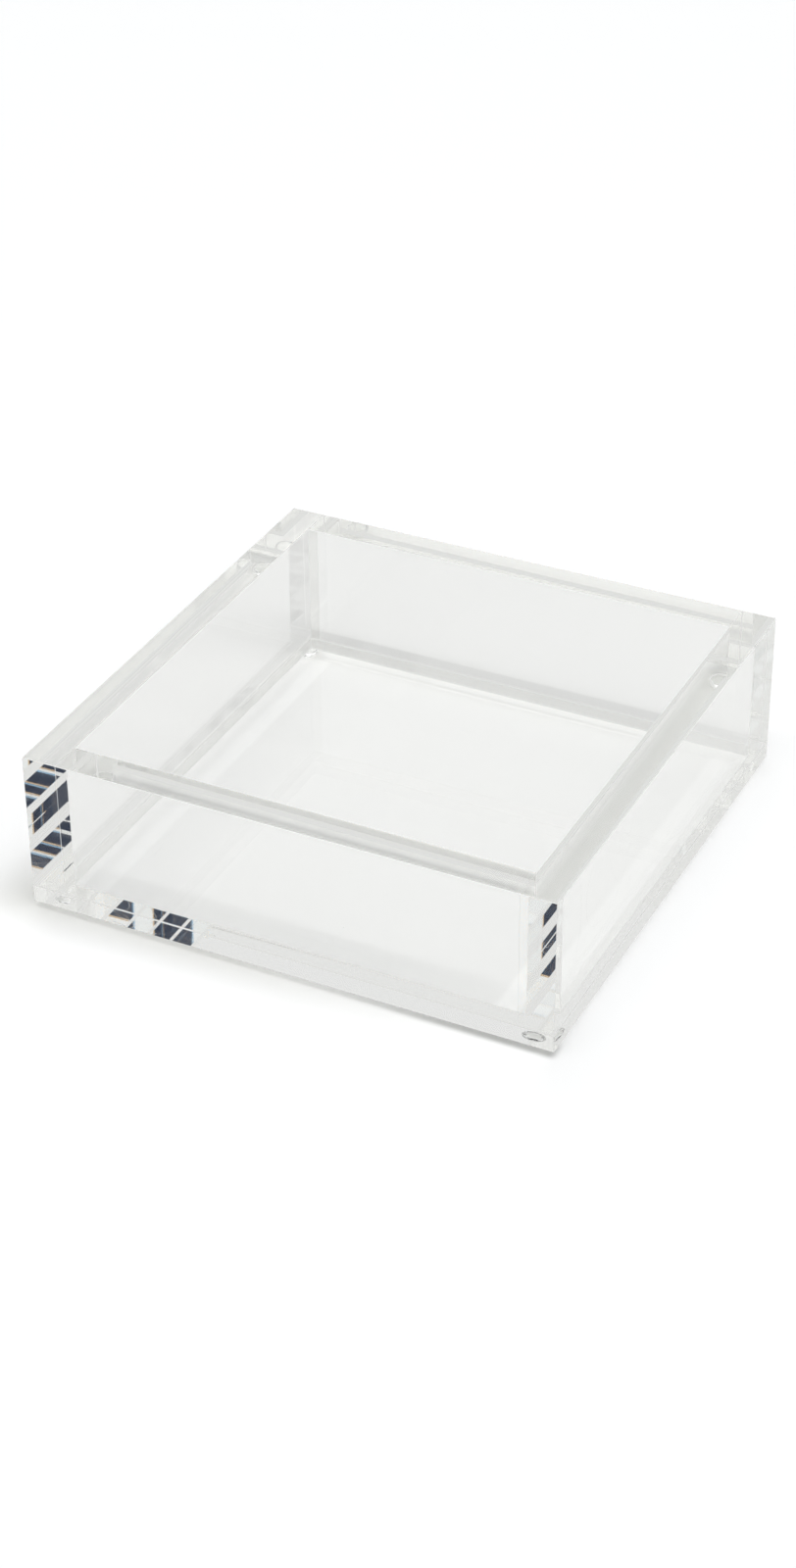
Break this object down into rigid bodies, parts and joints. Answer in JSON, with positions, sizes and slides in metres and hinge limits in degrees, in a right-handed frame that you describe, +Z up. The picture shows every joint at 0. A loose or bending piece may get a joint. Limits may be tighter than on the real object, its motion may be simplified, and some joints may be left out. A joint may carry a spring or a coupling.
{
  "type": "napkin tray",
  "caption": "Open square tray of thick clear acrylic sheet, with cemented walls on a base plate and bumper feet, that holds a stack of folded cocktail napkins.",
  "frame": {"origin": "on the table under the middle of the tray, at the level of the undersides of the feet", "axes": "+Z up out of the mouth, -Y towards the front wall of the picture, +X towards the right wall"},
  "size_m": [0.152, 0.152, 0.0477],
  "materials": {
    "clear_acrylic": "polished clear cast acrylic sheet, refractive index 1.49",
    "clear_bumper": "clear moulded polyurethane, satin"
  },
  "bodies": {
    "root": {"base_plate": "clear_acrylic", "left_wall": "clear_acrylic", "right_wall": "clear_acrylic", "front_wall": "clear_acrylic", "back_wall": "clear_acrylic", "front_left_foot": "clear_bumper", "front_right_foot": "clear_bumper", "back_left_foot": "clear_bumper", "back_right_foot": "clear_bumper"}
  },
  "joints": []
}
